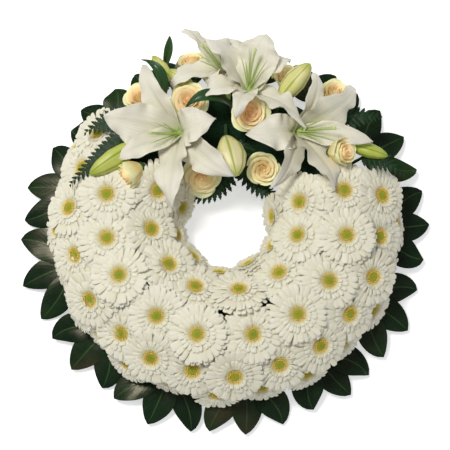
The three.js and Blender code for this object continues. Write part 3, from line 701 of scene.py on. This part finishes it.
random = np.random.default_rng(5)
for name, throat, way, tips in LILIES:
    throat = RING_CENTRE + throat
    way = unit(np.array(way))
    petals = Part()
    for x, y, z, half in tips:
        tip = RING_CENTRE + (x, y, z)
        outward = tip - throat
        length = np.linalg.norm(outward)
        rise = 0.2 * length + 0.4 * max(0, PETAL_LENGTH - length)
        t = np.linspace(0, 1, 26)
        line = bezier(throat, throat + way * rise + outward * 0.42, tip, t)
        side = unit(np.cross(way, outward))
        wander = 1 + 0.05 * np.sin(11 * t + random.uniform(0, FULL_TURN)) + 0.03 * np.sin(23 * t)
        outline = half * wander * np.sin(np.pi * t ** 0.85).clip(0) ** 0.8 * 1.03 + 1.6 * (1 - t) + 0.2
        phases = random.uniform(0, FULL_TURN, 3)
        sway = random.normal(0, 1)
        ruffle = 4.4 if half > BROAD else 2.2
        twist = random.normal(0, 0.15) if half > NARROW else 1.3

        def lily_profile(s, t):
            channel = 2.6 * np.abs(s) ** 0.8 * np.exp(-3 * t)
            groove = -1.8 * np.exp(-(s / 0.13) ** 2) * (1 - t) ** 0.5 * np.minimum(1, 8 * t)
            cup = 6 * s ** 2 * (1 - t) ** 1.2 - 4 * s ** 2 * t ** 2
            hook = -6 * np.clip((t - 0.7) / 0.3, 0, 1) ** 2
            edge = ruffle * np.abs(s) ** 2.2 * np.sin(np.pi * t) ** 0.8 * (
                np.sin(15 * t + phases[0] + np.sign(s)) + 0.6 * np.sin(29 * t + phases[1] * np.sign(s)))
            return channel + groove + cup + hook + edge + sway * s * 3 * t

        grid = blade_grid(line, side, outline, 17, lily_profile, twist)
        add_shells(petals, grid[None], 0.8, np.array([random.random()]))
    petals.place(name + "_petals", [lily_paint.material], [name], "lily_petals")

    centre = Part()
    level = unit(np.cross(way, [0, 0, 1]))
    upward = np.cross(level, way)
    for k in range(FILAMENTS + 1):
        splay = 0.3 if k < FILAMENTS else 0.0
        turn = 2 * math.pi * k / FILAMENTS
        aside = math.cos(turn) * level + math.sin(turn) * upward
        aim = unit(way + splay * aside)
        length = FILAMENT_LENGTH * (random.uniform(0.82, 1.0) if k < FILAMENTS else 1.1)
        t = np.linspace(0, 1, 12)
        path = throat + aim * length * t[:, None] + aside * (4.5 * (t ** 2 - t))[:, None]
        if k < FILAMENTS:
            add_tube(centre, path, np.interp(t, [0, 0.85, 1], [1.0, 0.6, 0.3]), 6)
        else:
            add_tube(centre, path, np.interp(t, [0, 0.86, 0.94, 1], [1.3, 1.05, 1.7, 1.8]), 8)
    add_tube(centre, throat + way * np.array([[-6], [2], [10], [14]]), [3.5, 4, 3, 1.3], 8)
    stem = np.linspace(stem_end(throat), throat, 8)
    add_tube(centre, stem, np.interp(np.linspace(0, 1, 8), [0, 0.8, 1], [3.2, 3.2, 4.5]), 8)
    centre.place(name + "_centre", [filament_paint.material], [], "lily_petals")

# Lily buds. Closed buds of the same lilies, long and furrowed where their outer petals meet,
# from green to cream as they ripen, each on its own short stem. A bud is given by its two
# ends, its radius and how ripe it is.
BUDS = (
    ((-100, 88, 100), (-158, 47, 108), 12.5, 0.12),
    ((-1, 98, 86), (12, 46, 104), 17, 0.95),
    ((62, 140, 84), (99, 180, 108), 13.5, 0.6),
    ((142, 86, 92), (189, 71, 96), 9, 0.0),
    ((-64, 164, 88), (-87, 192, 100), 8, 0.35),
    ((-38, 156, 84), (-70, 176, 94), 10, 0.3),
)
THIRD_OF_TURN = 2.0944
SEAM_ANGLE = 1.05

bud_paint = Paint("lily_bud", 0.42, 0.4)
ripe = bud_paint.ramp(bud_paint.tone(), [(0.0, (0.5, 0.56, 0.1)), (0.4, (0.7, 0.66, 0.24)),
                                        (1.0, (0.9, 0.8, 0.52))])
ends = bud_paint.ramp(bud_paint.map(1), [(0.0, (0.5, 0.62, 0.25)), (0.2, (0.9, 0.95, 0.75)),
                                        (0.8, (1, 1, 1)), (1.0, (0.62, 0.74, 0.3))])
seam = bud_paint.node("ShaderNodeTexWave", wave_type="BANDS", bands_direction="X")
seam.inputs["Scale"].default_value = 1.885
bud_paint.links.new(bud_paint.node("ShaderNodeUVMap", uv_map="petal").outputs[0], seam.inputs["Vector"])
seam_green = bud_paint.ramp(seam.outputs["Fac"], [(0.86, (1, 1, 1)), (0.985, (0.5, 0.62, 0.2))])
bud_streaks = [(0.35, (0.88, 0.92, 0.78)), (0.65, (1, 1, 1))]
streak = bud_paint.ramp(bud_paint.noise(1, 3, stretch=(40, 2)), bud_streaks)
bud_colour = bud_paint.mix(1.0, bud_paint.mix(1.0, ripe, ends, "MULTIPLY"), seam_green, "MULTIPLY")
bud_paint.colour(bud_paint.mix(0.8, bud_colour, streak, "MULTIPLY"))
bud_paint.bump(bud_paint.noise(1, 3, stretch=(40, 2)), 0.3, 0.5)


def add_lofted(part, start, end, radii, section, tone, sides=36):
    """A closed form along a line, `section(angle, t)` scaling its radii round it."""
    axis = unit(end - start)
    axes = frame_at(axis)
    t = np.linspace(0, 1, len(radii))
    turn = np.linspace(0, 2 * np.pi, sides, endpoint=False)
    r = np.asarray(radii)[:, None] * section(turn[None, :], t[:, None])
    middle = start + (end - start) * t[:, None]
    rings = (middle[:, None] + r[:, :, None] * (np.cos(turn)[None, :, None] * axes[0]
                                                 + np.sin(turn)[None, :, None] * axes[1]))
    rows = len(t)
    maps = np.stack([np.tile(turn / (2 * np.pi), rows), np.repeat(t, sides)], 1)
    part.add(rings.reshape(-1, 3), ring_faces(rows, sides), maps, np.full(rows * sides, tone))


for number, (start, end, radius, ripeness) in enumerate(BUDS, 1):
    start, end = RING_CENTRE + start, RING_CENTRE + end
    bud = Part()
    t = np.linspace(0, 1, 22)
    outline = radius * np.interp(t, [0, 0.03, 0.12, 0.3, 0.55, 0.8, 0.93, 0.98, 1],
                                 [0.03, 0.3, 0.55, 0.88, 1.0, 0.74, 0.42, 0.22, 0.02])

    def furrows(angle, t):
        groove = np.exp(-((angle % THIRD_OF_TURN - SEAM_ANGLE) / 0.12) ** 2)
        ridge = 0.07 * np.cos(3 * angle) + 0.02 * np.cos(6 * angle) - 0.05 * groove
        return 1 + ridge * np.sin(np.pi * t) ** 0.5

    add_lofted(bud, start, end, outline, furrows, ripeness)
    bud.place(f"lily_bud_{number}_petals", [bud_paint.material], [f"lily_bud_{number}"], "lily_buds")
    stem = Part()
    inner = start + (end - start) * 0.05
    add_tube(stem, np.linspace(stem_end(inner), inner, 8), 2.3, 8)
    stem.place(f"lily_bud_{number}_stem", [calyx_paint.material], [], "evergreen_leaves")

# Roses. Half-open cream roses with apricot hearts: a tight spiral in the middle, then cupped
# petals whose lips roll outwards, on a green hip and stem.
ROSE_HEIGHT = 34
ROSE_PETALS = 27

# A rose's azimuth, lean and reach on the dome, the way it faces, its size, how warm its heart
# is, and how far it has opened.
ROSES = (
    (125, 38, 84, (-0.3, 0.4, 1), 1, 0.6, 0.8),
    (108, 9, 88, (-0.1, -0.05, 1), 1.06, 0.75, 1),
    (102, 56, 86, (-0.1, 0.7, 0.8), 0.92, 0.6, 0.5),
    (77, -5, 88, (0.05, -0.25, 1), 1.04, 1.0, 0.9),
    (120, -62, 84, (0.05, -0.45, 1), 1.12, 0.4, 1),
    (52, -46, 82, (0.05, -0.35, 1), 0.97, 0.35, 0.8),
    (160, -3.5, 90, (-0.76, -0.56, 0.36), 0.94, 0.6, 0.3),
    (27.5, 14, 106, (0.66, -0.06, 0.75), 0.94, 0.7, 0.3),
    (50, 62, 88, (0.3, 0.35, 1), 0.95, 0.45, 0.7),
    (67, 46, 86, (0.2, 0.5, 0.9), 0.9, 0.3, 0.9),
)

rose_paint = Paint("rose_petal", 0.55, 0.25)
heart = rose_paint.ramp(rose_paint.tone(), [(0.0, (0.83, 0.83, 0.48)), (0.16, (0.92, 0.85, 0.53)),
                                           (0.5, (0.96, 0.77, 0.45)), (1.0, (0.97, 0.67, 0.36))])
# Along each petal the colour grows darker and more orange partway up, then lightens to white, and past white
# with a cool cast, at the rolled lip: a painted highlight on the lips.
lip_highlight = rose_paint.ramp(rose_paint.map(1), [(0.0, (0.85, 0.86, 0.6)), (0.45, (0.86, 0.66, 0.46)),
                                         (0.72, (0.96, 0.86, 0.74)), (0.9, (1, 1, 1)),
                                         (1.0, (1.02, 1.1, 1.2))])
rose_veins = rose_paint.noise(1, 4, stretch=(16, 2))
rose_shade = rose_paint.ramp(rose_veins, [(0.35, (0.96, 0.95, 0.9)), (0.65, (1, 1, 1))])
rose_colour = rose_paint.mix(1.0, rose_paint.mix(1.0, heart, lip_highlight, "MULTIPLY"), rose_shade, "MULTIPLY")
rose_paint.colour(rose_colour)
# The petals also glow faintly in their own colour: painted light that stands in for light passing through
# them.
rose_paint.links.new(rose_colour, rose_paint.shader.inputs["Emission Color"])
rose_paint.shader.inputs["Emission Strength"].default_value = 0.07
rose_paint.bump(rose_veins, 0.2, 0.5)

random = np.random.default_rng(11)
for number, (azimuth, lean, reach, facing, size, warmth, opened) in enumerate(ROSES, 1):
    place = dome_place(azimuth, lean, reach)
    axes = frame_at(facing, random.uniform(0, FULL_TURN))
    head = Part()
    for k in range(ROSE_PETALS):
        f = k / (ROSE_PETALS - 1)
        a = np.linspace(-1, 1, 15)[None, :]
        b = np.linspace(0, 1, 13)[:, None]
        rim = 1.2 + (14.5 + 2.5 * opened) * f ** 1.05
        spread = 1.35 - 0.5 * f
        top = 2.4 - 9 * f ** 1.5 * opened - 1.5 * (1 - f) ** 4 + random.uniform(-0.5, 0.5)
        rolled = np.clip((b - 0.62) / 0.38, 0, 1)
        out = (1.3 + 7 * f ** 1.4 * opened) * rolled ** 2 * (1 - 0.55 * f * np.abs(a) ** 1.2)
        belly = np.sin(b * np.pi * 0.62) ** 0.8
        radius = 2.5 + (rim - 2.5) * belly + out + (1.5 - 0.5 * f) * a * (0.35 + 0.65 * f) * b
        angle = GOLDEN_ANGLE * k + a * spread * (0.5 + 0.5 * b ** 0.5) + random.uniform(-0.1, 0.1)
        dip = (1.2 + 3.8 * f) * np.abs(a) ** 2.4 * b
        fall = (0.7 + 5 * f ** 1.4 * opened) * rolled ** 2.3
        height = -ROSE_HEIGHT + 4 + (ROSE_HEIGHT - 4 + top) * b - dip - fall
        wave = 0.6 * f * np.sin(6 * a + k) * b ** 4
        grid = np.stack([radius * np.cos(angle), radius * np.sin(angle), height + wave], -1) * size
        glow = 0.16 + 0.84 * warmth * (1 - f) ** 1.2 - 0.16 * (f > 0.8)
        tone = np.clip(glow + random.uniform(-0.03, 0.03), 0, 1)
        add_shells(head, (grid @ axes + place)[None], 0.8, np.array([tone]))
    furled = place + axes[2] * size * np.array([[-16], [-4], [0.5], [1.6]])
    add_tube(head, furled, np.array([2.6, 2.4, 1.5, 0.4]) * size, 10, 0.2 + 0.6 * warmth)
    head.place(f"rose_{number}_petals", [rose_paint.material], [f"rose_{number}"], "rose_petals")
    hip = Part()
    base = place + np.array([0, 0, -ROSE_HEIGHT * size + 3]) @ axes
    up = axes[2]
    add_tube(hip, base + up * np.array([[-3], [0], [4], [8]]), [2.5, 6, 7.5, 5], 10)
    add_tube(hip, np.linspace(stem_end(base), base, 6), 2.7, 8)
    hip.place(f"rose_{number}_hip", [calyx_paint.material], [], "evergreen_leaves")

# Lily leaves. Long glossy strap leaves left on the lily stems, arching over the roses. A leaf
# runs from its foot over a bend to its tip, and has half a width.
LILY_LEAVES = (
    ((-75, 138, 98), (-66, 168, 140), (-98, 180, 120), 6),
    ((8, 130, 94), (-22, 150, 138), (-48, 122, 114), 7),
    ((-73, 188, 72), (-66, 206, 98), (-67, 217, 96), 5),
)

strap_paint = Paint("lily_leaf", 0.32, 0.5)
strap_lines = strap_paint.noise(1, 3, stretch=(30, 1))
strap_paint.colour(strap_paint.ramp(strap_lines, [(0.3, (0.008, 0.04, 0.008)), (0.7, (0.03, 0.1, 0.02))]))
strap_paint.bump(strap_lines, 0.4, 0.6)

for number, (foot, bend, tip, half) in enumerate(LILY_LEAVES, 1):
    foot, bend, tip = RING_CENTRE + foot, RING_CENTRE + bend, RING_CENTRE + tip
    leaf = Part()
    t = np.linspace(0, 1, 18)
    line = bezier(foot, bend, tip, t)
    side = unit(np.cross([0, 0, 1], tip - foot))
    outline = half * np.sin(np.pi * (0.12 + 0.88 * t)).clip(0) + 0.3

    def strap_profile(s, t):
        return 2.2 * np.abs(s) + 0.6 * np.sin(8 * t) * s

    grid = blade_grid(line, side, outline, 7, strap_profile)
    add_shells(leaf, grid[None], 0.6, np.array([0.5]))
    add_tube(leaf, np.linspace(stem_end(foot), line[1], 6), 1.8, 6)
    leaf.place(f"lily_leaf_{number}_blade", [strap_paint.material], [f"lily_leaf_{number}"],
               "evergreen_leaves")

# Fern fronds. Leatherleaf fern tucked round the spray: a wiry stalk, from its foot over a bend
# to its tip, with pairs of toothed leaflets that shorten towards the tip.
FERNS = (
    ((-92, 104, 96), (-136, 76, 122), (-182, 36, 98)),
    ((-104, 118, 92), (-134, 116, 112), (-166, 98, 98)),
    ((160, 74, 82), (182, 70, 104), (208, 50, 86)),
    ((136, 116, 84), (158, 122, 100), (184, 120, 84)),
    ((0, 98, 60), (10, 32, 43), (-48, 30, 38)),
    ((20, 98, 62), (24, 40, 48), (70, 30, 40)),
)
FERN_WIDTH = 24
LEAFLET_SPACING = 6
LEAFLET_ROWS = 17
TOOTH_ROWS = 4

fern_paint = Paint("fern_leaflet", 0.5, 0.25)
fern_mottle = fern_paint.noise(60, 5)
fern_green = fern_paint.ramp(fern_mottle, [(0.3, (0.003, 0.018, 0.005)), (0.75, (0.01, 0.045, 0.011))])
fern_rib = fern_paint.ramp(fern_paint.math("ABSOLUTE", fern_paint.math("SUBTRACT", fern_paint.map(0), 0.5)),
                           [(0.0, (1, 1, 1)), (0.09, (0, 0, 0))])
fern_paint.colour(fern_paint.mix(fern_rib, fern_green, (0.03, 0.09, 0.025)))
fern_paint.bump(fern_rib, 0.3, 0.5)

random = np.random.default_rng(3)
for number, (foot, bend, tip) in enumerate(FERNS, 1):
    foot, bend, tip = RING_CENTRE + foot, RING_CENTRE + bend, RING_CENTRE + tip
    frond = Part()
    length = np.linalg.norm(tip - foot)
    line = bezier(foot, bend, tip, np.linspace(0, 1, 16))
    add_tube(frond, line, np.linspace(1.0, 0.3, 16), 5)
    add_tube(frond, np.linspace(stem_end(foot), line[1], 6), 1.4, 5)
    pairs = max(5, int(length / LEAFLET_SPACING))
    for k in range(pairs):
        for hand in (-1, 1):
            f = (k + 0.5 + 0.25 * hand) / pairs
            root = bezier(foot, bend, tip, f)
            ahead = unit(bezier(foot, bend, tip, min(1, f + 0.02)) - bezier(foot, bend, tip, f - 0.02))
            side = unit(np.cross([0, 0, 1], ahead))
            tilt = np.array([0, 0, random.uniform(-0.12, 0.12)])
            out = unit(side * hand + ahead * (0.45 + 0.5 * f) + tilt)
            size = min(FERN_WIDTH, length * 0.34) * (1 - f) ** 0.8 * min(1, 0.5 + 3 * f) + 2.5
            t = np.linspace(0, 1, LEAFLET_ROWS)
            spine = root + out * (size * t)[:, None] + np.array([0, 0, -1]) * (0.12 * size * t ** 2)[:, None]
            tooth = 1 - 0.11 * (np.arange(LEAFLET_ROWS) % TOOTH_ROWS)
            outline = (0.38 * size * (1 - t) ** 0.7 * np.minimum(1, 0.6 + 4 * t) + 0.25) * tooth
            grid = blade_grid(spine, np.cross(out, [0, 0, 1]), outline, 5, lambda s, t: -0.5 * s ** 2)
            add_shells(frond, grid[None], 0.4, np.array([random.random()]))
    frond.place(f"fern_frond_{number}_leaflets", [fern_paint.material], [f"fern_frond_{number}"],
                "fern_leaves")
